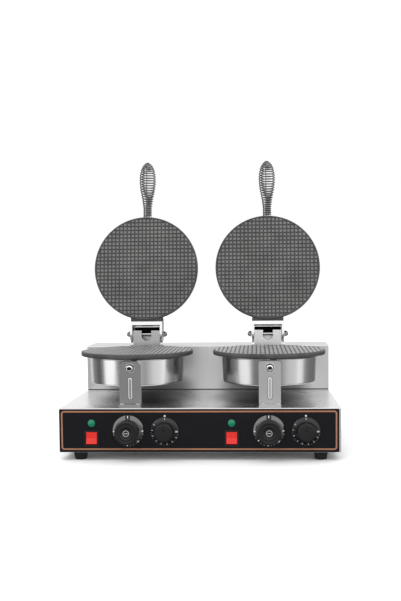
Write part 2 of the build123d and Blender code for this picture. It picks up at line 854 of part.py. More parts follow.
def strap_nuts():
    """The domed nut, washer and spacer on each strap bolt."""
    pieces = []
    washer_y = strap_front_y - strap_washer_thickness
    nut_end = washer_y - strap_nut_length
    dome_y = nut_end + strap_nut_dome
    bolt_end = washer_y - strap_bolt_in_nut
    for side in SIDES:
        nut = hex_y(strap_nut_across_flats, dome_y, washer_y, 0, strap_bolt_z)
        cap = rod_y(strap_nut_cap_radius, nut_end, dome_y, 0, strap_bolt_z)
        nut += fillet(cap.edges().sort_by(Axis.Y)[0], strap_nut_cap_edge)
        nut -= rod_y(strap_bolt_radius, bolt_end, washer_y + overcut, 0, strap_bolt_z)
        washer = rod_y(strap_washer_radius, washer_y, strap_front_y, 0, strap_bolt_z)
        washer -= rod_y(strap_bolt_radius, washer_y - overcut, strap_front_y + overcut, 0, strap_bolt_z)
        spacer_end = pan_front_y - strap_spacer_gap
        spacer = rod_y(strap_spacer_radius, strap_back_y, spacer_end, 0, strap_bolt_z)
        spacer -= rod_y(strap_bolt_radius, strap_back_y - overcut, spacer_end + overcut, 0, strap_bolt_z)
        pieces += [at_head(p, side) for p in (nut, washer, spacer)]
    return Compound(children=pieces)


def rear_support():
    """The folded bracket between the riser and the back of the lower pan."""
    half = support_width / 2
    t = support_thickness
    y0 = pan_rear_y
    y1 = riser_front_y
    bracket = block(-half, half, y0, y0 + t, support_bottom, support_top)
    bracket += block(-half, half, y1 - t, y1, support_bottom, support_top)
    bracket += block(-half, half, y0, y1, support_bottom, support_bottom + t)
    for x in (-half, half - t):
        bracket += block(x, x + t, y0, y1, support_bottom, support_bottom + support_side_height)
    return bracket


# ---------------------------------------------------------------- hinge
def hinge_bracket():
    """The notched bracket on the riser that holds the pin; its taller rear wall stops the lid."""
    half = bracket_width / 2
    t = bracket_sheet
    y0 = pin_y - bracket_front
    y1 = pin_y + bracket_back
    top = pin_z + bracket_above_pin
    body = block(-half, half, y0, y1, riser_top, top)
    body -= block(-half + t, half - t, y0 + t, y1 - t, riser_top - overcut, top + overcut)
    body += block(-half, half, y1 - t, y1, top, pin_z + bracket_rear_above_pin)
    radius = bracket_notch_width / 2
    notch_z = pin_z - bracket_notch_bottom + radius
    body -= block(-radius, radius, y0 - overcut, y0 + t + overcut, notch_z, top + overcut)
    body -= rod_y(radius, y0 - overcut, y0 + t + overcut, 0, notch_z)
    for x in (-half - bracket_tab, half - t):
        body += block(x, x + bracket_tab + t, y0, y1, riser_top, riser_top + bracket_tab_thickness)
    return body - rod_x(pin_radius, -half - overcut, half + overcut, pin_y, pin_z)


def hinge_pin():
    """The pin that both arms of the yoke turn on."""
    return rod_x(pin_radius, -pin_half_length, pin_half_length, pin_y, pin_z)


def hinge_nuts():
    """The domed nuts on the ends of both hinge pins."""
    nuts = []
    for side in SIDES:
        for end in (-1, 1):
            x0 = hinge_nut_start
            x1 = hinge_nut_start + hinge_nut_length
            dome_x = x0 + hinge_nut_hex_length
            nut = hex_x(hinge_nut_across_flats, x0, dome_x, pin_y, pin_z)
            cap = rod_x(hinge_nut_cap_radius, dome_x, x1, pin_y, pin_z)
            nut += fillet(cap.edges().sort_by(Axis.X)[-1], hinge_nut_cap_edge)
            nut -= rod_x(pin_radius, x0 - overcut, pin_half_length, pin_y, pin_z)
            if end < 0:
                nut = mirror(nut, Plane.YZ)
            nuts.append(at_head(nut, side))
    return Compound(children=nuts)


# ---------------------------------------------------------------- lid, made closed
def upper_plate():
    """The cast upper baking plate with its hinge lug and handle boss."""
    plate = disc(lid_radius, lid_face_z, lid_face_z + plate_rim, 0, head_y)
    plate = fillet(plate.edges(), plate_edge_radius)
    spigot_z = lid_face_z + plate_rim
    plate += disc(plate_spigot_radius, spigot_z, spigot_z + plate_spigot_height, 0, head_y)
    half = lug_width / 2
    lug = block(-half, half, head_y + lug_start, head_y + web_start,
                lid_face_z + lug_recess, lid_face_z + lug_top)
    plate += fillet(lug.edges().filter_by(Axis.Z).group_by(Axis.Y)[-1], lug_corner)
    half = handle_boss_width / 2
    boss = block(-half, half, head_y - handle_boss_end, head_y - handle_boss_start,
                 lid_face_z + plate_rim / 2, lid_face_z + handle_boss_top)
    top_edges = boss.edges().filter_by(Axis.Y).group_by(Axis.Z)[-1]
    plate += fillet(top_edges, handle_boss_corner)
    for x in (-yoke_screw_x, yoke_screw_x):
        plate -= countersunk_screw(x)
    rod_z = lid_face_z + handle_height
    rod_start = head_y - handle_boss_end + handle_rod_depth
    return plate - rod_y(handle_rod_radius, head_y - lid_radius - overcut, rod_start, 0, rod_z)


def upper_cover():
    """The steel pan over the back of the upper plate."""
    z0 = lid_face_z + plate_rim
    shell = pan(z0, 1)
    shell -= disc(lead_gland_thread_radius, z0 + drum_height - overcut, z0 + drum_height + overcut,
                  0, head_y + drum_radius / 2)
    return shell


def upper_heater():
    """The heater of the upper plate."""
    return heater(lid_face_z + plate_rim + plate_spigot_height, 1)


def lid_gland():
    """The small gland on the upper cover where the heater's lead leaves."""
    z0 = lid_face_z + plate_rim + drum_height
    y = head_y + drum_radius / 2
    hexagon = RegularPolygon(lead_gland_hex / 2, 6, major_radius=False)
    body = Pos(0, y, z0) * extrude(hexagon, lead_gland_hex_length)
    barrel_z = z0 + lead_gland_hex_length
    barrel = disc(lead_gland_dome_radius, barrel_z, z0 + lead_gland_length, 0, y)
    body += fillet(barrel.edges().sort_by(Axis.Z)[-1], lead_gland_dome_radius * gland_dome_rounding)
    thread_z = z0 - lead_gland_thread_length
    body += disc(lead_gland_thread_radius, thread_z, z0, 0, y)
    return body - disc(lead_gland_bore_radius, thread_z - overcut, z0 + lead_gland_length + overcut, 0, y)


def hinge_yoke():
    """The stirrup bolted to the lid's lug, with two arms that turn on the pin."""
    web_y = head_y + web_start
    z0 = pin_z - arm_radius
    z1 = pin_z + arm_radius
    yoke = block(-arm_outer_x, arm_outer_x, web_y, web_y + web_thickness, z0, z1)
    for x in (-arm_outer_x, arm_outer_x - arm_thickness):
        yoke += block(x, x + arm_thickness, web_y, pin_y, z0, z1)
        yoke += rod_x(arm_radius, x, x + arm_thickness, pin_y, pin_z)
    for x in (-arm_outer_x, arm_outer_x - cheek_thickness):
        yoke += cheek(x, web_y, z1)
    bore = pin_radius + arm_bore_clearance
    yoke -= rod_x(bore, -arm_outer_x - overcut, arm_outer_x + overcut, pin_y, pin_z)
    for x in (-yoke_screw_x, yoke_screw_x):
        yoke -= countersunk_screw(x)
    return yoke


def cheek(x, y, z):
    """A thin triangular ear that runs from the yoke's web along the side of the lug."""
    outline = make_face(Polyline((y, z), (y - cheek_length, z), (y, z - cheek_height), close=True))
    return Pos(x, 0, 0) * extrude(Plane.YZ * outline, cheek_thickness)


def countersunk_screw(x):
    """A flush screw through the yoke's web into the lug."""
    end = head_y + web_start + web_thickness
    sink = yoke_screw_head_radius - yoke_screw_radius
    shank = rod_y(yoke_screw_radius, end - yoke_screw_length, end, x, pin_z)
    head = Pos(x, end - sink / 2, pin_z) * Rot(-90, 0, 0)
    return shank + head * Cone(yoke_screw_radius, yoke_screw_head_radius, sink)


def yoke_screws():
    """The two countersunk screws of one yoke."""
    screws = []
    for x in (-yoke_screw_x, yoke_screw_x):
        screw = countersunk_screw(x)
        end = head_y + web_start + web_thickness
        socket = RegularPolygon(yoke_screw_socket / 2, 6, major_radius=False)
        socket = Rot(90, 0, 0) * extrude(socket, yoke_screw_socket_depth)
        screw -= Pos(x, end, pin_z) * socket
        screws.append(screw)
    return Compound(children=screws)


def handle_rod():
    """The steel rod inside the handle, with the collar that seats on the boss."""
    z = lid_face_z + handle_height
    start = head_y - handle_boss_end + handle_rod_depth
    rim_y = head_y - plate_radius
    rod = rod_y(handle_rod_radius, rim_y - handle_rod_length, start, 0, z)
    rod = fillet(rod.edges().sort_by(Axis.Y)[0], handle_rod_tip_radius)
    collar_y = head_y - handle_boss_end
    return rod + rod_y(handle_collar_radius, collar_y - handle_collar_length, collar_y, 0, z)


def handle_coil():
    """The wound wire grip as a hollow sleeve of its outer shape."""
    neck = handle_neck_radius
    bulb = handle_bulb_radius
    stations = [(handle_start, neck), (22.0, neck), (48.0, 0.71 * bulb), (67.0, 0.88 * bulb),
                (86.0, bulb), (105.0, 0.84 * bulb), (115.0, 0.6 * bulb)]
    wall = handle_coil_wall
    tip_end = handle_length - wall
    outer = Spline(*[(r, s) for s, r in stations + [(handle_length, handle_tip_radius)]])
    inner = Spline(*[(r - wall, s) for s, r in stations[::-1]])
    cap = Polyline((handle_tip_radius, handle_length), (0, handle_length), (0, tip_end),
                   (stations[-1][1] - wall, stations[-1][0]))
    start = Line((neck - wall, handle_start), (neck, handle_start))
    sleeve = revolve(make_face(outer + cap + inner + start), Axis.Y)
    z = lid_face_z + handle_height
    return Pos(0, head_y - plate_radius, z) * Rot(180, 0, 0) * sleeve


# ---------------------------------------------------------------- assembly
def shared_nodes():
    """The pieces that the machine has once, or as a group of identical fasteners."""
    return {
        "base_housing": base_housing(),
        "bottom_cover": bottom_cover(),
        "front_panel": front_panel(),
        "panel_border": panel_border(),
        "rubber_feet": rubber_feet(),
        "foot_screws": foot_screws(),
        "rear_riser": rear_riser(),
        "riser_back_cover": riser_back_cover(),
        "cover_screws": cover_screws(),
        "cable_gland": cable_gland(),
        "lead_glands": lead_glands(),
        "terminal_block": terminal_block(),
        "lamp_lenses": lamp_lenses(),
        "lamp_bodies": lamp_bodies(),
        "strap_screws": strap_screws(),
        "strap_bolts": strap_bolts(),
        "strap_nuts": strap_nuts(),
        "hinge_nuts": hinge_nuts(),
    }


def head_nodes():
    """The pieces that each baking head repeats, made over x = 0."""
    fixed = {
        "lower_plate": lower_plate(),
        "lower_drum": lower_drum(),
        "lower_heater": lower_heater(),
        "rear_support": rear_support(),
        "hinge_bracket": hinge_bracket(),
        "hinge_pin": hinge_pin(),
    }
    lid = {
        "upper_plate": upper_plate(),
        "upper_cover": upper_cover(),
        "upper_heater": upper_heater(),
        "lid_gland": lid_gland(),
        "hinge_yoke": hinge_yoke(),
        "yoke_screws": yoke_screws(),
        "handle_rod": handle_rod(),
        "handle_coil": handle_coil(),
    }
    for name, shape in lid.items():
        fixed[name] = open_lid(shape)
    return fixed


def control_nodes(side):
    """The controls and strap of one side."""
    return {
        "front_strap": front_strap(side),
        "switch_housing": switch_housing(side),
        "rocker": rocker(side),
        "thermostat_body": rotary_body(group_place(side, thermostat_x), thermostat_z,
                                       thermostat_body_depth),
        "thermostat_knob": thermostat_knob(side),
        "timer_body": rotary_body(group_place(side, timer_x), timer_z, timer_body_depth),
        "timer_knob": timer_knob(side),
    }


def main():
    """Builds every node and writes its STEP file."""
    nodes = shared_nodes()
    heads = head_nodes()
    for side in SIDES:
        for name, shape in heads.items():
            nodes[side + "_" + name] = at_head(shape, side)
        for name, shape in control_nodes(side).items():
            nodes[side + "_" + name] = shape
    os.makedirs("parts", exist_ok=True)
    for name, shape in nodes.items():
        export_step(shape, "parts/" + name + ".step")
    print(len(nodes), "nodes")
    print("hinge axis y, z:", pin_y, pin_z)
    print("rocker axis y, z:", rocker_axis_y, switch_z)


main()
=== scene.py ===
import json
from math import cos, pi, radians, sin, sqrt
import bmesh
import bpy
from mathutils import Matrix, Vector


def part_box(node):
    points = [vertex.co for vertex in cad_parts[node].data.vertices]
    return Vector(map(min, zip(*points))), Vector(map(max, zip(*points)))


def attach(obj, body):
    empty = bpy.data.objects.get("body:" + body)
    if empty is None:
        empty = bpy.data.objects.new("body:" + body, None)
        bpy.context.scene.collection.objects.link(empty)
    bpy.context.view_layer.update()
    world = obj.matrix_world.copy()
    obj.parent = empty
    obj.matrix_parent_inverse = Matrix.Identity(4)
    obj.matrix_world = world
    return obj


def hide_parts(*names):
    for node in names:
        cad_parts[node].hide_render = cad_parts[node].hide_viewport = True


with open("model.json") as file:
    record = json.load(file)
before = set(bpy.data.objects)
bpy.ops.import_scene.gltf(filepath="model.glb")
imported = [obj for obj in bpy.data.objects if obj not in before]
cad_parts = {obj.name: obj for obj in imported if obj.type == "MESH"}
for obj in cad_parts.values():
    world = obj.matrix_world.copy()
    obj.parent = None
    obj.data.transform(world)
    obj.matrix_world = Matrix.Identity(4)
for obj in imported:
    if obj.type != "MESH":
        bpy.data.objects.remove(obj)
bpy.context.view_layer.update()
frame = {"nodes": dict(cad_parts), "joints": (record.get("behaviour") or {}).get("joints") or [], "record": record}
NODES = frame["nodes"]

SIDES = ("left", "right")
MM = 0.001

# ------------------------------------------------------------------ sizes, in metres
# Waffle grid of the four baking plates: half widths of a raised square, then its heights
GRID_PITCH = 7.85 * MM
GRID_TOP = 2.25 * MM
GRID_SHOULDER = 2.55 * MM
GRID_FOOT = 3.1 * MM
GRID_SHOULDER_DROP = 0.2 * MM
GRID_DEPTH = 1.3 * MM
GRID_EDGE = 2.6 * MM
GRID_CLEARANCE = 0.9 * MM
SMALLEST_SQUARE = 0.5 * MM
CLIP_STEPS = 72

# Plates
PLATE_RIM = 8.5 * MM
SPIGOT_RADIUS = 85 * MM
SPIGOT_HEIGHT = 4 * MM
BAKING_GAP = 2 * MM
OPEN_ANGLE = radians(97.5)

# Wound wire of the lid handles; the bulb and tip distances are from the plate's edge, in millimetres
HANDLE_Y = -105 * MM
HANDLE_Z = 24 * MM
COIL_WIRE = 1.35 * MM
COIL_STEPS = 20
COIL_PITCH_NECK = 3.9 * MM
COIL_PITCH_BULB = 5.2 * MM
COIL_PITCH_TIP = 3.6 * MM
COIL_BULB_START = 15
COIL_BULB_RISE = 30
COIL_TIP_START = 103
COIL_TAIL = 1.0 * MM
COIL_TAIL_X = -2.0 * MM
COIL_TAIL_ENDS = (26 * MM, 118 * MM)

# Places on the CAD parts that marks and tints go by; most tints are painted light and shade
INDEX_DOT_ABOVE = 26.8 * MM
BASE_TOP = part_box("base_housing")[1].z
HINGE_Y = (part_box("left_hinge_pin")[0].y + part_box("left_hinge_pin")[1].y) / 2
HINGE_Z = (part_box("left_hinge_pin")[0].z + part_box("left_hinge_pin")[1].z) / 2
NUT_Z = (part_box("strap_nuts")[0].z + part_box("strap_nuts")[1].z) / 2
HEAD_X = (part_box("right_lower_plate")[0].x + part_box("right_lower_plate")[1].x) / 2
RIB_MIDDLE = 123.8 * MM
RIB_HALF_LINE = 16 * MM
PAN_SHADE_X = 108 * MM
PAN_SHADE_Y = -35 * MM
PAN_SHADE_FADE = (115 * MM, 55 * MM)
PAN_SIDE_SHARE = 0.45
RISER_SHADE_X = 116 * MM
RISER_SHADE_SQUEEZE = 2.2
RISER_SHADE_FADE = (105 * MM, 60 * MM)
RISER_SHADE_SHARE = 0.6

# ------------------------------------------------------------------ shapes, in millimetres
# Outline of the wound handle: distance from the plate's edge, outer radius
COIL_PROFILE = [(5, 9.1), (24, 9.2), (43, 11.8), (63, 15.9), (80, 17.4), (94, 16.8), (105, 14.4),
                (113, 10.8), (118, 6.4), (120, 3.4)]

# Blocks: low corner, high corner, edge radius
HINGE_LUG = ((-31.5, 95, 2.5), (31.5, 109.2, 36), 1.6)
HANDLE_BOSS = ((-13, -103, 7.5), (13, -95, 34), 2.5)
CAP_BAR = ((-3.2, -0.6, 28.1), (3.2, 0.6, 28.8), 0.2)
POINTER_RIDGE = ((-2.2, 3, 12), (2.2, 16.6, 22.0), 1.0)

# Turned parts: radius, height over the panel
THERMOSTAT_SKIRT = [(0, 1.0), (27.2, 1.0), (27.5, 1.3), (27.5, 2.7), (27.2, 3.1), (20.1, 5.2), (19.9, 5.2)]
THERMOSTAT_GRIP = [(19.9, 5.2), (19.7, 5.6), (20.2, 16.0), (20.6, 27.0), (20.3, 28.6), (19.4, 29.5),
                   (18.0, 29.6), (14.2, 28.6), (13.2, 28.5), (12.6, 29.0), (11.4, 29.0), (10.9, 28.5),
                   (6.6, 28.3), (0, 28.3)]
CAP_RING = [(5.4, 28.2), (5.4, 28.9), (4.9, 29.2), (4.4, 28.9), (4.4, 28.3)]
TIMER_SKIRT = [(0, 1.0), (24.7, 1.0), (25.0, 1.3), (25.0, 2.0), (24.7, 2.4), (17.6, 4.6), (17.2, 4.6)]
TIMER_GRIP = [(17.2, 4.6), (16.9, 4.9), (16.4, 18.5), (16.0, 20.6), (15.0, 21.6), (13.0, 21.9), (0, 21.4)]
INDEX_DOT = [(1.6, -0.05), (1.6, 0.15), (1.4, 0.25), (0, 0.3)]

# How many steps each turned part has round its axis
PLATE_SEGMENTS = 128
DISC_SEGMENTS = 96
KNOB_SEGMENTS = 120
CAP_SEGMENTS = 48
DOT_SEGMENTS = 32

# Places of the materials in a plate and in a knob
BODY, GROOVE, PEAK = range(3)
GRIP, SKIRT, MARK, INSERT = range(4)

# Marks of the dials: inner and outer radius, width, heights at those radii, material
TOP_WINDOW = (20.3, 27.1, 8.5, (5.35, 3.35), GRIP)
TOP_MARK = (22.4, 26.6, 1.4, (4.85, 3.65), MARK)
THERMOSTAT_MARK = (23.6, 26.6, 1.5, (4.4, 3.45), MARK)
THERMOSTAT_LINE = (25.4, 26.8, 0.5, (3.85, 3.45), INSERT)
TIMER_MARK = (20.6, 23.8, 1.1, (3.75, 2.75), INSERT)
TIMER_WIDE_MARK = (18.6, 23.8, 2.6, (4.4, 2.65), INSERT)
TIMER_LINE = (23.2, 24.3, 0.45, (2.95, 2.6), INSERT)
MARK_THICKNESS = 0.4

# Angles of those marks, in degrees clockwise from the top
TOP_ANGLE = -1
THERMOSTAT_ANGLES = (90, 137, 184, 227, 268)
THERMOSTAT_LINES = tuple(90 + step * 13.7 for step in range(1, 13))
TIMER_ANGLES = (0, 118, 143, 170, 197, 222, 250, 276, 303)
TIMER_WIDE_ANGLE = 90
TIMER_LINES = tuple(105 + step * 9.0 for step in range(25))

# ------------------------------------------------------------------ studio
# Brightness round the horizon: degrees from the front towards +X, level
HORIZON = [(-180, 0.7), (-146, 0.8), (-122, 0.25), (-98, 0.12), (-86, 0.3), (-75, 1.3), (-52, 1.4),
           (-42, 0.4), (-32, 0.16), (-18, 0.5), (4, 0.9), (17, 0.5), (26, 0.35), (36, 0.6), (46, 0.85),
           (56, 0.9), (66, 0.95), (78, 1.35), (86, 1.2), (97, 0.4), (112, 0.25), (140, 0.2), (180, 0.5)]
HORIZON_SCALE = 2.0
CEILING_LEVEL = 1.35
CEILING_FADE = (0.05, 0.22)
GROUND_LEVEL = 0.12
GROUND_FADE = (-0.2, -0.5)
SEEN_LEVEL = 1.0
FLOOR_RADIUS = 6.0

# Key light: place, aim, size and power
KEY_LIGHT = ((-0.6, -1.6, 2.2), (0, 0, 0.2), 1.6, 18)

CAMERA_PLACE = (0.10274, -1.54389, 0.31047)
CAMERA_TURN = (radians(86.332), radians(0.521), radians(2.524))
CAMERA_SENSOR = 36.0
CAMERA_LENS = 47.73
CAMERA_SHIFT_X = -0.0355
CAMERA_SHIFT_Y = 0.0557


# ------------------------------------------------------------------ shader helpers
# A mix node's sockets: its factor, its two numbers, its two colours, and the colour that it gives
MIX_FACTOR = 0
MIX_NUMBERS = (2, 3)
MIX_COLORS = (6, 7)
MIX_COLOR_OUT = 2


def node(tree, kind, inputs=None, **settings):
    """Adds a shader node, sets its options, and fills its inputs with values or links."""
    made = tree.nodes.new(kind)
    for key, value in settings.items():
        setattr(made, key, value)
    for key, value in (inputs or {}).items():
        if isinstance(value, bpy.types.NodeSocket):
            tree.links.new(value, made.inputs[key])
        else:
            made.inputs[key].default_value = value
    return made


def new_material(name, metallic, roughness, **sockets):
    """A Principled material with its plain numbers set on the shader itself."""
    material = bpy.data.materials.new(name)
    material.use_nodes = True
    tree = material.node_tree
    shader = tree.nodes["Principled BSDF"]
    shader.inputs["Metallic"].default_value = metallic
    shader.inputs["Roughness"].default_value = roughness
    for key, value in sockets.items():
        shader.inputs[key.replace("_", " ")].default_value = value
    return material, tree, shader


def noise(tree, scale, detail=3.0, rough=0.5):
    """Noise over the object's own coordinates; scale is per metre along X, Y and Z."""
    place = node(tree, "ShaderNodeTexCoord")
    spread = node(tree, "ShaderNodeMapping", {"Vector": place.outputs["Object"], "Scale": scale})
    made = node(tree, "ShaderNodeTexNoise",
                {"Vector": spread.outputs["Vector"], "Scale": 1.0, "Detail": detail, "Roughness": rough})
    return made.outputs["Fac"]


def spread_range(tree, value, low, high, start=0.3, end=0.7):
    """Maps a noise value to a range."""
    made = node(tree, "ShaderNodeMapRange", {"Value": value, "From Min": start, "From Max": end,
                                             "To Min": low, "To Max": high})
    return made.outputs["Result"]


def ramp_between(tree, value, start, end):
    """0 at start and 1 at end, with a smooth rise between them."""
    made = node(tree, "ShaderNodeMapRange", {"Value": value, "From Min": start, "From Max": end},
                interpolation_type="SMOOTHSTEP")
    return made.outputs["Result"]


def maths(tree, operation, first, second=0.0, third=0.0):
    """One step of arithmetic on sockets or numbers."""
    return node(tree, "ShaderNodeMath", {0: first, 1: second, 2: third}, operation=operation).outputs[0]


def mix(tree, factor, first, second):
    """Blends two numbers or sockets by a factor."""
    inputs = {MIX_FACTOR: factor, MIX_NUMBERS[0]: first, MIX_NUMBERS[1]: second}
    return node(tree, "ShaderNodeMix", inputs).outputs[0]


def mix_colors(tree, factor, first, second):
    """Blends two colours, each three numbers or a socket, by a factor."""
    inputs = {MIX_FACTOR: factor}
    for key, color in zip(MIX_COLORS, (first, second)):
        inputs[key] = color if isinstance(color, bpy.types.NodeSocket) else (*color, 1.0)
    return node(tree, "ShaderNodeMix", inputs, data_type="RGBA").outputs[MIX_COLOR_OUT]


def add_bump(tree, shader, height, distance):
    """Bumps the surface by a height of the given distance."""
    made = node(tree, "ShaderNodeBump", {"Height": height, "Strength": 1.0, "Distance": distance})
    tree.links.new(made.outputs["Normal"], shader.inputs["Normal"])


def grey(level, warm=0.0):
    """A grey, a little warmer or cooler."""
    return (level * (1 + warm), level, level * (1 - warm))


# ------------------------------------------------------------------ materials
def brushed_steel(name, level, roughness, grain, contrast=0.12):
    """Brushed stainless: fine lines along one direction, faint cloudy smears."""
    material, tree, shader = new_material(name, 1.0, roughness)
    lines = noise(tree, grain, 4.0, 0.6)
    clouds = noise(tree, (14, 14, 14))
    color = mix_colors(tree, lines, grey(level * (1 - contrast)), grey(level * (1 + contrast)))
    tree.links.new(color, shader.inputs["Base Color"])
    lines_rough = spread_range(tree, lines, roughness * 0.85, roughness * 1.15)
    cloud_rough = spread_range(tree, clouds, -0.04, 0.05)
    tree.links.new(maths(tree, "ADD", lines_rough, cloud_rough), shader.inputs["Roughness"])
    add_bump(tree, shader, lines, 0.02 * MM)
    return material


def cast_iron(name, low, high, roughness, scale=900):
    """Seasoned cast iron: grainy, satin, a little metallic."""
    material, tree, shader = new_material(name, 0.55, roughness)
    grain = noise(tree, (scale, scale, scale), 5.0, 0.65)
    patches = noise(tree, (30, 30, 30))
    factor = spread_range(tree, maths(tree, "ADD", grain, patches), 0.0, 1.0, 0.75, 1.25)
    color = mix_colors(tree, factor, grey(low, 0.01), grey(high, 0.01))
    tree.links.new(color, shader.inputs["Base Color"])
    patch_rough = spread_range(tree, patches, roughness - 0.06, roughness + 0.08)
    tree.links.new(patch_rough, shader.inputs["Roughness"])
    add_bump(tree, shader, grain, 0.12 * MM)
    return material


def plastic(name, color, roughness, texture=0.03 * MM, scale=1500, **sockets):
    """Moulded plastic with a fine texture and a slight colour mottle."""
    material, tree, shader = new_material(name, 0.0, roughness, **sockets)
    grain = noise(tree, (scale, scale, scale), 2.0)
    clouds = noise(tree, (60, 60, 60), 2.0)
    darker = tuple(c * 0.8 for c in color)
    lighter = tuple(c * 1.2 for c in color)
    tree.links.new(mix_colors(tree, clouds, darker, lighter), shader.inputs["Base Color"])
    tree.links.new(spread_range(tree, grain, roughness * 0.85, roughness * 1.15), shader.inputs["Roughness"])
    add_bump(tree, shader, grain, texture)
    return material


def chrome(name, level, roughness):
    """Bright plated metal with faint smears."""
    material, tree, shader = new_material(name, 1.0, roughness)
    clouds = noise(tree, (120, 120, 120))
    tree.links.new(mix_colors(tree, clouds, grey(level * 0.9), grey(level)), shader.inputs["Base Color"])
    tree.links.new(spread_range(tree, clouds, roughness * 0.6, roughness * 1.5), shader.inputs["Roughness"])
    return material


def knob_skirt(name, low, high, roughness):
    """The satin dark metal of a knob's skirt."""
    material, tree, shader = new_material(name, 1.0, roughness)
    grain = noise(tree, (500, 500, 500))
    tree.links.new(mix_colors(tree, grain, grey(low), grey(high)), shader.inputs["Base Color"])
    tree.links.new(spread_range(tree, grain, roughness * 0.8, roughness * 1.2), shader.inputs["Roughness"])
    return material


# The depth of the finest texture
FINE = 0.01 * MM

MATERIALS = {
    "housing_steel": brushed_steel("housing_steel", 0.64, 0.27, (12, 500, 500), 0.06),
    "riser_steel": brushed_steel("riser_steel", 0.68, 0.33, (600, 600, 9), 0.06),
    # The straps are one steel in two greys: the darker left copy is painted shade and the lighter right copy is
    # painted light.
    "strap_steel_shaded": brushed_steel("strap_steel_shaded", 0.33, 0.34, (600, 600, 20), 0.08),
    "strap_steel_lit": brushed_steel("strap_steel_lit", 0.54, 0.34, (20, 600, 600), 0.08),
    # The brackets are one steel in two greys: the darker left copy is painted shade and the near white right copy
    # (bracket_steel) is painted light.
    "bracket_steel_shaded": brushed_steel("bracket_steel_shaded", 0.68, 0.36, (500, 500, 60), 0.08),
    "bracket_steel": brushed_steel("bracket_steel", 0.98, 0.40, (500, 500, 60), 0.02),
    # The pans are one steel in two greys: the lighter left copy (pan_steel) is painted light and the darker right
    # copy is painted shade.
    "pan_steel": brushed_steel("pan_steel", 0.72, 0.19, (40, 40, 1400), 0.09),
    "pan_steel_shaded": brushed_steel("pan_steel_shaded", 0.60, 0.19, (40, 40, 1400), 0.09),
    "yoke_steel": brushed_steel("yoke_steel", 0.88, 0.32, (400, 400, 60), 0.04),
    "heater_steel": brushed_steel("heater_steel", 0.35, 0.45, (200, 200, 200)),
    "coil_steel": chrome("coil_steel", 0.24, 0.20),
    "rod_steel": chrome("rod_steel", 0.55, 0.35),
    # Darkened chrome of the hinge dome nuts: painted dark reflection.
    "dome_steel_shaded": chrome("dome_steel_shaded", 0.30, 0.10),
    "fastener_steel": chrome("fastener_steel", 0.70, 0.10),
    "nut_steel": chrome("nut_steel", 0.95, 0.08),
    "iron_body": cast_iron("iron_body", 0.05, 0.11, 0.55),
    "iron_groove": cast_iron("iron_groove", 0.09, 0.15, 0.5, 1400),
    "iron_peak": cast_iron("iron_peak", 0.26, 0.40, 0.42, 1400),
    # The lids' grid is the same iron as the lower plates' grid; its darker greys are painted shade.
    "lid_groove_shaded": cast_iron("lid_groove_shaded", 0.055, 0.095, 0.5, 1400),
    "lid_peak_shaded": cast_iron("lid_peak_shaded", 0.13, 0.21, 0.42, 1400),
    "panel_black": plastic("panel_black", (0.005, 0.0051, 0.0075), 0.38, FINE, Specular_IOR_Level=0.16),
    "border_copper": plastic("border_copper", (0.30, 0.13, 0.06), 0.4, FINE),
    "knob_black": plastic("knob_black", (0.008, 0.008, 0.0095), 0.36, 2 * FINE, Specular_IOR_Level=0.3),
    "knob_mark": plastic("knob_mark", (0.72, 0.72, 0.70), 0.5),
    "knob_insert": plastic("knob_insert", (0.38, 0.38, 0.38), 0.4),
    "knob_skirt": knob_skirt("knob_skirt", 0.12, 0.20, 0.19),
    "timer_skirt": knob_skirt("timer_skirt", 0.035, 0.06, 0.3),
    "switch_black": plastic("switch_black", (0.010, 0.010, 0.011), 0.4, Specular_IOR_Level=0.3),
    "control_phenolic": plastic("control_phenolic", (0.06, 0.05, 0.04), 0.5),
    "rocker_red": plastic("rocker_red", (0.60, 0.010, 0.004), 0.25, FINE),
    "lamp_green": plastic("lamp_green", (0.0, 0.17, 0.085), 0.2, 4 * FINE, 700),
    "gland_nylon": plastic("gland_nylon", (0.02, 0.02, 0.02), 0.5),
    "terminal_ceramic": plastic("terminal_ceramic", (0.75, 0.73, 0.68), 0.4),
    "foot_rubber": plastic("foot_rubber", (0.010, 0.010, 0.011), 0.6, 6 * FINE, 900, Specular_IOR_Level=0.3),
}


# ------------------------------------------------------------------ masks: 1 where a tint lies, 0 elsewhere; most tints are painted light and shade
def xyz(tree, kind):
    """The X, Y and Z of the object's own coordinates ("Object") or of its own surface normal ("Normal")."""
    place = node(tree, "ShaderNodeTexCoord")
    return node(tree, "ShaderNodeSeparateXYZ", {0: place.outputs[kind]}).outputs


def both(tree, first, second):
    """1 where both masks are 1."""
    return maths(tree, "MULTIPLY", first, second)


def length(tree, first, second):
    """The distance that a step of first and a step of second across it make."""
    square = maths(tree, "ADD", maths(tree, "POWER", first, 2.0), maths(tree, "POWER", second, 2.0))
    return maths(tree, "SQRT", square)


def beside(tree, place, x):
    """The distance along X from a place as far from the machine's middle plane as x, on either side."""
    return maths(tree, "SUBTRACT", maths(tree, "ABSOLUTE", place["X"]), x)


def ring(tree, distance, rise, fall):
    """1 between two distances; rise and fall hold where each edge starts and ends, in millimetres."""
    after = ramp_between(tree, distance, rise[0] * MM, rise[1] * MM)
    return both(tree, after, ramp_between(tree, distance, fall[1] * MM, fall[0] * MM))


def lit_side_faces(tree):
    """Faces that look left or right, which take a painted highlight."""
    return ramp_between(tree, maths(tree, "ABSOLUTE", xyz(tree, "Normal")["X"]), 0.3, 0.8)


def top_faces_shade(tree):
    """Faces that look up, which take a painted darker grey."""
    return ramp_between(tree, xyz(tree, "Normal")["Z"], 0.8, 0.95)


def underside_shade(tree):
    """Faces that look down, which take painted shade."""
    return ramp_between(tree, xyz(tree, "Normal")["Z"], -0.75, -0.95)


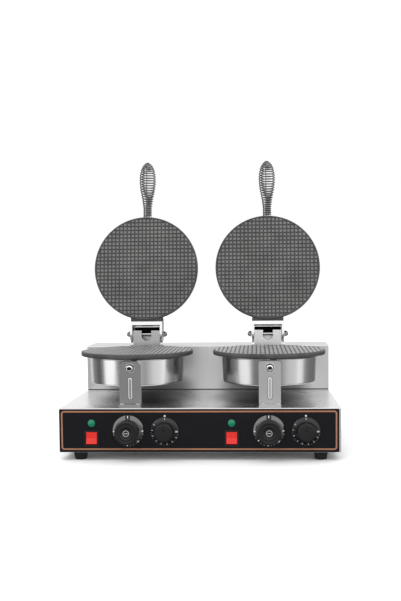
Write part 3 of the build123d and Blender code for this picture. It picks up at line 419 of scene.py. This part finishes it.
def inner_side_shade(direction):
    """The side of a pan that looks at the other pan, which takes painted shade, at most PAN_SIDE_SHARE; direction
    is where that is.
    """
    def factor(tree):
        toward = maths(tree, "MULTIPLY", xyz(tree, "Normal")["X"], direction)
        return maths(tree, "MULTIPLY", ramp_between(tree, toward, 0.62, 0.85), PAN_SIDE_SHARE)
    return factor


def rib_distance(tree):
    """The distance from the middle line of the pressed rib of the nearer strap."""
    place = xyz(tree, "Object")
    up = maths(tree, "ABSOLUTE", maths(tree, "SUBTRACT", place["Z"], RIB_MIDDLE))
    beyond = maths(tree, "MAXIMUM", maths(tree, "SUBTRACT", up, RIB_HALF_LINE), 0.0)
    return length(tree, beside(tree, place, HEAD_X), beyond)


def rib_edge_highlight(tree):
    """The rounded edge of a strap's rib, which takes a painted highlight."""
    return ring(tree, rib_distance(tree), (1.3, 1.8), (3.1, 3.5))


def rib_root_shade(tree):
    """Where a strap's rib rises from its flat face, which takes a painted dark line of shade."""
    return ring(tree, rib_distance(tree), (3.3, 3.6), (4.1, 4.6))


def nut_distance(tree, squeeze):
    """The distance from the axis of the nearer strap nut, with heights multiplied by squeeze."""
    place = xyz(tree, "Object")
    up = maths(tree, "MULTIPLY", maths(tree, "SUBTRACT", place["Z"], NUT_Z), squeeze)
    return length(tree, beside(tree, place, HEAD_X), up)


def nut_middle_reflection(tree):
    """A flat oval at the middle of each strap nut, which takes a painted dark reflection."""
    return ramp_between(tree, nut_distance(tree, 1.45), 4.9 * MM, 3.7 * MM)


def nut_foot_shade(tree):
    """Where a strap nut meets its washer, which takes painted shade."""
    return ring(tree, nut_distance(tree, 1.0), (5.9, 6.5), (7.4, 8.0))


def under_pans(tree):
    """The base's top in the shade of each pan."""
    place = xyz(tree, "Object")
    along = maths(tree, "SUBTRACT", place["Y"], PAN_SHADE_Y)
    return ramp_between(tree, length(tree, beside(tree, place, PAN_SHADE_X), along), *PAN_SHADE_FADE)


def behind_pans(tree):
    """Low on the riser's front in the shade of each pan, at most RISER_SHADE_SHARE."""
    place = xyz(tree, "Object")
    up = maths(tree, "MULTIPLY", maths(tree, "SUBTRACT", place["Z"], BASE_TOP), RISER_SHADE_SQUEEZE)
    near = ramp_between(tree, length(tree, beside(tree, place, RISER_SHADE_X), up), *RISER_SHADE_FADE)
    front = ramp_between(tree, xyz(tree, "Normal")["Y"], -0.5, -0.9)
    return maths(tree, "MULTIPLY", both(tree, near, front), RISER_SHADE_SHARE)


def joint_line(tree):
    """Along the foot of the riser."""
    return ramp_between(tree, xyz(tree, "Object")["Z"], BASE_TOP + 1.6 * MM, BASE_TOP + 0.8 * MM)


def bracket_inside_shade(tree):
    """Behind the bracket's front wall, above the pin, which takes painted shade."""
    place = xyz(tree, "Object")
    behind = ramp_between(tree, place["Y"], HINGE_Y - 7.4 * MM, HINGE_Y - 6.4 * MM)
    return both(tree, behind, ramp_between(tree, place["Z"], HINGE_Z - 5 * MM, HINGE_Z - 3 * MM))


def tint(name, factor_of, level, roughness, matt=False):
    """Lays another grey and roughness over a metal where factor_of says; matt takes its shine away too."""
    tree = MATERIALS[name].node_tree
    shader = tree.nodes["Principled BSDF"]
    factor = factor_of(tree)
    under = shader.inputs["Base Color"].links[0].from_socket
    tree.links.new(mix_colors(tree, factor, under, grey(level)), shader.inputs["Base Color"])
    under = shader.inputs["Roughness"].links[0].from_socket
    tree.links.new(mix(tree, factor, under, roughness), shader.inputs["Roughness"])
    if matt:
        bare = maths(tree, "SUBTRACT", 1.0, factor)
        tree.links.new(bare, shader.inputs["Metallic"])
        tree.links.new(maths(tree, "MULTIPLY", bare, 0.5), shader.inputs["Specular IOR Level"])


def tint_materials():
    """Painted highlights, shade and dark reflections on the steel, which its own finish doesn't give, and the dark
    joint line at the riser's foot.
    """
    for name in ("strap_steel_shaded", "strap_steel_lit"):
        # Painted highlight on the strap's side faces.
        tint(name, lit_side_faces, 0.95, 0.3)
        # Painted highlight along each rib's rounded edge.
        tint(name, rib_edge_highlight, 0.95, 0.3)
        # Painted shade in the crease round each rib's foot.
        tint(name, rib_root_shade, 0.14, 0.4)
    for name in ("bracket_steel", "bracket_steel_shaded"):
        # Painted highlight on the bracket's side faces.
        tint(name, lit_side_faces, 0.95, 0.3)
        # Painted shade inside the bracket, nearly black.
        tint(name, bracket_inside_shade, 0.02, 0.9)
    for name in ("pan_steel", "pan_steel_shaded"):
        # Painted shade on the pans' undersides.
        tint(name, underside_shade, 0.03, 0.6)
    # Painted shade on each pan's side that looks at the other pan.
    tint("pan_steel", inner_side_shade(1), 0.16, 0.3)
    tint("pan_steel_shaded", inner_side_shade(-1), 0.12, 0.3)
    tint("housing_steel", under_pans, 0.27, 0.36)
    # Painted shade: the riser's top is a darker grey than its front.
    tint("riser_steel", top_faces_shade, 0.50, 0.4)
    tint("riser_steel", behind_pans, 0.10, 0.45)
    tint("riser_steel", joint_line, 0.02, 0.6)
    # Painted shade where each strap nut meets its washer.
    tint("nut_steel", nut_foot_shade, 0.06, 0.3)
    # Painted dark reflection in the middle of each strap nut.
    tint("nut_steel", nut_middle_reflection, 0.02, 0.3)
    # Painted shade on the yoke's faces that look down, made matt.
    tint("yoke_steel", underside_shade, 0.01, 0.9, matt=True)


# ------------------------------------------------------------------ mesh helpers
def finish_piece(name, mesh_builder, body, materials, replaces=()):
    """Turns a bmesh into a piece that rides on a body."""
    mesh = bpy.data.meshes.new(name)
    mesh_builder.to_mesh(mesh)
    mesh_builder.free()
    for material in materials:
        mesh.materials.append(MATERIALS[material])
    piece = bpy.data.objects.new(name, mesh)
    bpy.context.scene.collection.objects.link(piece)
    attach(piece, body)
    if replaces:
        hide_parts(*replaces)
    return piece


def lathe(builder, profile, segments, material, place, smooth=True):
    """Turns a list of (radius, height) round the Z axis."""
    rings = []
    for radius, height in profile:
        if radius == 0:
            rings.append([builder.verts.new(place @ Vector((0, 0, height)))])
            continue
        ring_verts = []
        for i in range(segments):
            turn = 2 * pi * i / segments
            point = Vector((radius * cos(turn), radius * sin(turn), height))
            ring_verts.append(builder.verts.new(place @ point))
        rings.append(ring_verts)
    for lower, upper in zip(rings, rings[1:]):
        for i in range(segments):
            j = (i + 1) % segments
            corners = [lower[i % len(lower)], lower[j % len(lower)],
                       upper[j % len(upper)], upper[i % len(upper)]]
            unique = []
            for corner in corners:
                if corner not in unique:
                    unique.append(corner)
            face = builder.faces.new(unique)
            face.material_index = material
            face.smooth = smooth


def turned(builder, profile, segments, material, place):
    """A lathe shape from a profile in millimetres."""
    scaled = [(radius * MM, height * MM) for radius, height in profile]
    lathe(builder, scaled, segments, material, place)


def rounded_block(builder, low, high, radius, material, place):
    """A block between two corners with rounded edges, all in millimetres."""
    size = (Vector(high) - Vector(low)) * MM
    centre = (Vector(high) + Vector(low)) * MM / 2
    made = bmesh.ops.create_cube(builder, size=1.0)
    verts = made["verts"]
    for vert in verts:
        vert.co = Vector((vert.co.x * size.x, vert.co.y * size.y, vert.co.z * size.z)) + centre
    edges = list({edge for vert in verts for edge in vert.link_edges})
    result = bmesh.ops.bevel(builder, geom=edges, offset=radius * MM, segments=3, profile=0.5, affect="EDGES")
    faces = set(result["faces"])
    for vert in result["verts"]:
        faces.update(vert.link_faces)
    for face in faces:
        face.material_index = material
        face.smooth = True
    bmesh.ops.transform(builder, matrix=place, verts=list({v for f in faces for v in f.verts}))


def clip_polygon(points, radius):
    """Clips a convex polygon to a circle round the origin."""
    for i in range(CLIP_STEPS):
        turn = 2 * pi * i / CLIP_STEPS
        normal = Vector((cos(turn), sin(turn)))
        if all(p.dot(normal) <= radius for p in points):
            continue
        kept = []
        for a, b in zip(points, points[1:] + points[:1]):
            da = a.dot(normal) - radius
            db = b.dot(normal) - radius
            if da <= 0:
                kept.append(a)
            if (da < 0 < db) or (db < 0 < da):
                kept.append(a + (b - a) * (da / (da - db)))
        points = kept
        if len(points) < 3:
            return []
    return points


def grid_square(builder, x, y, limit, place):
    """One raised square of the waffle grid at height 0, cut off where it meets the plate's rim."""
    corners = [Vector((x - GRID_TOP, y - GRID_TOP)), Vector((x + GRID_TOP, y - GRID_TOP)),
               Vector((x + GRID_TOP, y + GRID_TOP)), Vector((x - GRID_TOP, y + GRID_TOP))]
    if max(c.length for c in corners) > limit:
        corners = clip_polygon(corners, limit)
    if len(corners) < 3:
        return
    middle = sum(corners, Vector((0, 0))) / len(corners)
    if min((c - middle).length for c in corners) < SMALLEST_SQUARE:
        return
    levels = ((0.0, 0.0), (GRID_SHOULDER - GRID_TOP, -GRID_SHOULDER_DROP),
              (GRID_FOOT - GRID_TOP, -GRID_DEPTH))
    rings = []
    for grow, height in levels:
        ring_verts = []
        for corner in corners:
            out = corner - middle
            spot = corner + out.normalized() * grow * sqrt(2)
            ring_verts.append(builder.verts.new(place @ Vector((spot.x, spot.y, height))))
        rings.append(ring_verts)
    builder.faces.new(rings[0]).material_index = PEAK
    for upper, lower, material in ((rings[0], rings[1], PEAK), (rings[1], rings[2], GROOVE)):
        for i in range(len(upper)):
            j = (i + 1) % len(upper)
            builder.faces.new((upper[i], lower[i], lower[j], upper[j])).material_index = material


def waffle_face(builder, radius, place):
    """The raised squares over the whole face of a plate."""
    limit = radius - GRID_EDGE - GRID_CLEARANCE
    count = int(radius / GRID_PITCH) + 1
    for row in range(-count, count + 1):
        for column in range(-count, count + 1):
            x = (column + 0.5) * GRID_PITCH
            y = (row + 0.5) * GRID_PITCH
            if sqrt(x * x + y * y) < radius + GRID_PITCH:
                grid_square(builder, x, y, limit, place)


def plate_body(builder, radius, place):
    """The disc under the grid, with a low rim line round it. Its face is at 0, its back at -PLATE_RIM."""
    floor = -GRID_DEPTH
    inner = radius - GRID_EDGE
    foot = inner - 0.6 * MM
    lathe(builder, [(0, floor), (foot, floor)], DISC_SEGMENTS, GROOVE, place, smooth=False)
    profile = [(foot, floor), (inner, -0.35 * MM), (radius - 1.3 * MM, -0.3 * MM),
               (radius - 0.4 * MM, -0.7 * MM), (radius, -1.6 * MM), (radius, -PLATE_RIM + 1.3 * MM),
               (radius - 0.5 * MM, -PLATE_RIM + 0.4 * MM), (radius - 1.4 * MM, -PLATE_RIM), (0, -PLATE_RIM)]
    lathe(builder, profile, PLATE_SEGMENTS, BODY, place)


def spigot(builder, direction, place):
    """The step on the back of a plate, which looks along Z times direction."""
    start = direction * PLATE_RIM
    end = direction * (PLATE_RIM + SPIGOT_HEIGHT)
    lathe(builder, [(SPIGOT_RADIUS, start), (SPIGOT_RADIUS, end), (0, end)], DISC_SEGMENTS, BODY, place)


def add_mark(builder, place, angle, mark):
    """A thin raised mark on a dial; angle runs clockwise from the top."""
    inner, outer, width, heights, material = mark
    turn = radians(angle)
    along = Vector((sin(turn), cos(turn), 0)) * MM
    across = Vector((cos(turn), -sin(turn), 0)) * width * MM / 2
    near, far = heights
    corners = [(along * inner - across, near), (along * inner + across, near),
               (along * outer + across, far), (along * outer - across, far)]
    top = []
    bottom = []
    for spot, height in corners:
        top.append(builder.verts.new(place @ (spot + Vector((0, 0, height * MM)))))
        bottom.append(builder.verts.new(place @ (spot + Vector((0, 0, (height - MARK_THICKNESS) * MM)))))
    builder.faces.new(top).material_index = material
    for i in range(4):
        j = (i + 1) % 4
        builder.faces.new((top[j], top[i], bottom[i], bottom[j])).material_index = material


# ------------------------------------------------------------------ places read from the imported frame
def joint_place(name):
    """Where a joint's axis is, in metres."""
    for joint in frame["joints"]:
        if joint["name"] == name:
            return Vector(joint["pos_m"])
    raise ValueError(name)


def open_matrix(side):
    """From the closed lid's place to its open rest place."""
    pin = joint_place(side + "_lid_hinge")
    return Matrix.Translation(pin) @ Matrix.Rotation(-OPEN_ANGLE, 4, "X") @ Matrix.Translation(-pin)


def head_centre(side):
    """The centre of a lower plate's top face."""
    low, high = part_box(side + "_lower_plate")
    return Vector(((low.x + high.x) / 2, (low.y + high.y) / 2, high.z))


def plate_radius(name):
    """The radius of a plate's CAD node."""
    low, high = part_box(name)
    return (high.x - low.x) / 2


def dial_place(side, which, above=0.0):
    """A knob's frame: Z points at the user, and the origin is on the panel, above the knob's axis."""
    low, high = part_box(side + "_" + which + "_knob")
    centre = Vector(((low.x + high.x) / 2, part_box("front_panel")[0].y, (low.z + high.z) / 2 + above))
    return Matrix.Translation(centre) @ Matrix.Rotation(radians(90), 4, "X")


# ------------------------------------------------------------------ pieces
def lower_plate(side):
    """The lower baking plate."""
    radius = plate_radius(side + "_lower_plate")
    place = Matrix.Translation(head_centre(side))
    builder = bmesh.new()
    plate_body(builder, radius, place)
    waffle_face(builder, radius, place)
    spigot(builder, -1, place)
    finish_piece(side + "_lower_waffle_plate", builder, "base",
                 ["iron_body", "iron_groove", "iron_peak"], [side + "_lower_plate"])


def upper_plate(side):
    """The upper baking plate with its hinge lug and handle boss, in its open place."""
    radius = plate_radius(side + "_upper_plate")
    back_up = open_matrix(side) @ Matrix.Translation(head_centre(side) + Vector((0, 0, BAKING_GAP)))
    face_up = back_up @ Matrix.Rotation(pi, 4, "X")
    builder = bmesh.new()
    plate_body(builder, radius, face_up)
    waffle_face(builder, radius, face_up)
    spigot(builder, 1, back_up)
    rounded_block(builder, *HINGE_LUG, BODY, back_up)
    rounded_block(builder, *HANDLE_BOSS, BODY, back_up)
    bmesh.ops.recalc_face_normals(builder, faces=builder.faces)
    finish_piece(side + "_upper_waffle_plate", builder, side + "_lid",
                 ["iron_body", "lid_groove_shaded", "lid_peak_shaded"], [side + "_upper_plate"])


def coil_radius(distance):
    """The outer radius of the wound handle at a distance from the plate's edge, in millimetres."""
    for (s0, r0), (s1, r1) in zip(COIL_PROFILE, COIL_PROFILE[1:]):
        if distance <= s1:
            return r0 + (r1 - r0) * (distance - s0) / (s1 - s0)
    return COIL_PROFILE[-1][1]


def coil_pitch(distance):
    """The step from turn to turn at a distance from the plate's edge in millimetres."""
    if distance > COIL_TIP_START:
        return COIL_PITCH_TIP
    share = min(max((distance - COIL_BULB_START) / COIL_BULB_RISE, 0.0), 1.0)
    return COIL_PITCH_NECK + (COIL_PITCH_BULB - COIL_PITCH_NECK) * share


def coil_points():
    """The middle line of the wound wire, from the plate's edge outwards along -Y."""
    points = []
    distance = COIL_PROFILE[0][0] * MM
    turn = 0.0
    while distance < COIL_PROFILE[-1][0] * MM:
        radius = coil_radius(distance / MM) * MM - COIL_WIRE
        points.append(Vector((radius * cos(turn), -distance, radius * sin(turn))))
        distance += coil_pitch(distance / MM) / COIL_STEPS
        turn += 2 * pi / COIL_STEPS
    return points


def add_wire(curve, points, place, thickness):
    """One length of wire through the points; thickness is a share of the curve's own."""
    wire = curve.splines.new("POLY")
    wire.points.add(len(points) - 1)
    for spot, point in zip(wire.points, points):
        spot.co = (*(place @ point), 1.0)
        spot.radius = thickness
    return wire


def handle_coil(side):
    """The wound spring-wire grip, with the wire's straight end inside it."""
    place = open_matrix(side) @ Matrix.Translation(head_centre(side) + Vector((0, HANDLE_Y, HANDLE_Z)))
    curve = bpy.data.curves.new(side + "_handle_coil_wire", "CURVE")
    curve.dimensions = "3D"
    curve.bevel_depth = COIL_WIRE
    curve.bevel_resolution = 2
    curve.use_fill_caps = True
    add_wire(curve, coil_points(), place, 1.0).use_smooth = True
    tail = [Vector((COIL_TAIL_X, -end, 0)) for end in COIL_TAIL_ENDS]
    add_wire(curve, tail, place, COIL_TAIL / COIL_WIRE)
    curve.materials.append(MATERIALS["coil_steel"])
    piece = bpy.data.objects.new(side + "_wire_grip", curve)
    bpy.context.scene.collection.objects.link(piece)
    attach(piece, side + "_lid")
    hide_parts(side + "_handle_coil")


def thermostat_knob(side):
    """The temperature knob: a conical skirt with dial marks and a tall round grip."""
    place = dial_place(side, "thermostat")
    builder = bmesh.new()
    turned(builder, THERMOSTAT_SKIRT, KNOB_SEGMENTS, SKIRT, place)
    turned(builder, THERMOSTAT_GRIP, KNOB_SEGMENTS, GRIP, place)
    turned(builder, CAP_RING, CAP_SEGMENTS, INSERT, place)
    rounded_block(builder, *CAP_BAR, INSERT, place)
    add_mark(builder, place, TOP_ANGLE, TOP_WINDOW)
    add_mark(builder, place, TOP_ANGLE, TOP_MARK)
    for angle in THERMOSTAT_ANGLES:
        add_mark(builder, place, angle, THERMOSTAT_MARK)
    for angle in THERMOSTAT_LINES:
        add_mark(builder, place, angle, THERMOSTAT_LINE)
    bmesh.ops.recalc_face_normals(builder, faces=builder.faces)
    finish_piece(side + "_temperature_knob", builder, side + "_thermostat_dial",
                 ["knob_black", "knob_skirt", "knob_mark", "knob_insert"], [side + "_thermostat_knob"])


def timer_knob(side):
    """The timer knob: a marked skirt and a smaller grip with a pointer ridge."""
    place = dial_place(side, "timer")
    builder = bmesh.new()
    turned(builder, TIMER_SKIRT, KNOB_SEGMENTS, SKIRT, place)
    turned(builder, TIMER_GRIP, KNOB_SEGMENTS, GRIP, place)
    rounded_block(builder, *POINTER_RIDGE, GRIP, place)
    for angle in TIMER_ANGLES:
        add_mark(builder, place, angle, TIMER_MARK)
    add_mark(builder, place, TIMER_WIDE_ANGLE, TIMER_WIDE_MARK)
    for angle in TIMER_LINES:
        add_mark(builder, place, angle, TIMER_LINE)
    bmesh.ops.recalc_face_normals(builder, faces=builder.faces)
    finish_piece(side + "_timer_dial_knob", builder, side + "_timer_dial",
                 ["knob_black", "timer_skirt", "knob_mark", "knob_insert"], [side + "_timer_knob"])


def index_dot(side):
    """The white index dot over a timer knob."""
    builder = bmesh.new()
    turned(builder, INDEX_DOT, DOT_SEGMENTS, BODY, dial_place(side, "timer", INDEX_DOT_ABOVE))
    finish_piece(side + "_index_dot", builder, "base", ["knob_mark"])


# ------------------------------------------------------------------ materials of the CAD nodes
# Nodes whose material is not their slot's own
NODE_LOOK = {"left_lower_plate": "iron_body", "right_lower_plate": "iron_body",
             "left_upper_plate": "iron_body", "right_upper_plate": "iron_body",
             "rear_riser": "riser_steel", "riser_back_cover": "riser_steel",
             "left_front_strap": "strap_steel_shaded", "right_front_strap": "strap_steel_lit",
             "left_hinge_bracket": "bracket_steel_shaded", "right_hinge_bracket": "bracket_steel",
             "left_rear_support": "strap_steel_shaded", "right_rear_support": "strap_steel_shaded",
             "right_lower_drum": "pan_steel_shaded", "right_upper_cover": "pan_steel_shaded",
             "left_handle_rod": "rod_steel", "right_handle_rod": "rod_steel",
             "strap_nuts": "nut_steel", "hinge_nuts": "dome_steel_shaded", "strap_screws": "strap_steel_lit"}

# Widths of the softened edges of the folded steel parts, in millimetres
BEVELLED = {"left_front_strap": 0.7, "right_front_strap": 0.7, "left_hinge_bracket": 0.5,
            "right_hinge_bracket": 0.5, "left_hinge_yoke": 0.8, "right_hinge_yoke": 0.8,
            "left_rear_support": 0.5, "right_rear_support": 0.5}


def dress_cad_nodes():
    """Gives each CAD node its material."""
    slots = {row["node"]: row["material_slot"] for row in frame["record"]["subparts"]}
    for name, piece in NODES.items():
        piece.data.materials.clear()
        piece.data.materials.append(MATERIALS[NODE_LOOK.get(name, slots[name])])


def round_edges():
    """Softens the cut edges of the folded steel parts."""
    for name, width in BEVELLED.items():
        weld = NODES[name].modifiers.new("weld", "WELD")
        weld.merge_threshold = 0.001 * MM
        bevel = NODES[name].modifiers.new("bevel", "BEVEL")
        bevel.width = width * MM
        bevel.segments = 2
        bevel.limit_method = "ANGLE"
        bevel.angle_limit = radians(50)


# ------------------------------------------------------------------ studio
def horizon_level(tree, direction):
    """The brightness of the studio's walls in a direction."""
    toward = maths(tree, "MULTIPLY", direction["Y"], -1.0)
    angle = maths(tree, "ARCTAN2", direction["X"], toward)
    share = maths(tree, "MULTIPLY_ADD", angle, 1 / (2 * pi), 0.5)
    ramp = node(tree, "ShaderNodeValToRGB", {"Fac": share})
    ramp.color_ramp.interpolation = "EASE"
    elements = ramp.color_ramp.elements
    while len(elements) < len(HORIZON):
        elements.new(0.5)
    for element, (azimuth, level) in zip(elements, HORIZON):
        element.position = azimuth / 360 + 0.5
        element.color = (*grey(level / HORIZON_SCALE), 1)
    return maths(tree, "MULTIPLY", ramp.outputs["Color"], HORIZON_SCALE)


def studio_world():
    """A studio with side softboxes, a bright ceiling and darker gaps; the camera itself sees white."""
    world = bpy.data.worlds.new("studio")
    bpy.context.scene.world = world
    world.use_nodes = True
    tree = world.node_tree
    back = tree.nodes["Background"]
    back.inputs["Color"].default_value = (1, 1, 1, 1)
    direction = xyz(tree, "Generated")
    rise = ramp_between(tree, direction["Z"], *CEILING_FADE)
    above = mix(tree, rise, horizon_level(tree, direction), CEILING_LEVEL)
    fall = ramp_between(tree, direction["Z"], *GROUND_FADE)
    around = mix(tree, fall, above, GROUND_LEVEL)
    ray = node(tree, "ShaderNodeLightPath")
    seen = mix(tree, ray.outputs["Is Camera Ray"], around, SEEN_LEVEL)
    tree.links.new(seen, back.inputs["Strength"])


def studio_floor():
    """A plain pale floor."""
    builder = bmesh.new()
    bmesh.ops.create_circle(builder, cap_ends=True, segments=64, radius=FLOOR_RADIUS)
    mesh = bpy.data.meshes.new("studio_floor")
    builder.to_mesh(mesh)
    builder.free()
    floor = bpy.data.objects.new("studio_floor", mesh)
    bpy.context.scene.collection.objects.link(floor)
    material, tree, shader = new_material("studio_floor", 0.0, 0.9)
    clouds = noise(tree, (3, 3, 3))
    tree.links.new(mix_colors(tree, clouds, grey(0.90), grey(0.93)), shader.inputs["Base Color"])
    mesh.materials.append(material)
    floor.visible_glossy = False


def studio_light(name, place, aim, size, power):
    """A large soft area light."""
    data = bpy.data.lights.new(name, "AREA")
    data.size = size
    data.energy = power
    light = bpy.data.objects.new(name, data)
    bpy.context.scene.collection.objects.link(light)
    light.location = place
    light.rotation_euler = (Vector(aim) - Vector(place)).to_track_quat("-Z", "Y").to_euler()
    light.visible_glossy = False


def studio_camera():
    """The camera in front of the machine, at about half its height."""
    data = bpy.data.cameras.new("camera")
    camera = bpy.data.objects.new("camera", data)
    bpy.context.scene.collection.objects.link(camera)
    bpy.context.scene.camera = camera
    camera.location = CAMERA_PLACE
    camera.rotation_euler = CAMERA_TURN
    data.sensor_width = CAMERA_SENSOR
    data.lens = CAMERA_LENS
    data.shift_x = CAMERA_SHIFT_X
    data.shift_y = CAMERA_SHIFT_Y


tint_materials()
dress_cad_nodes()
round_edges()
for side in SIDES:
    lower_plate(side)
    upper_plate(side)
    handle_coil(side)
    thermostat_knob(side)
    timer_knob(side)
for side in SIDES:
    index_dot(side)
studio_world()
studio_floor()
studio_light("key", *KEY_LIGHT)
studio_camera()
bpy.context.scene.view_settings.view_transform = "Standard"
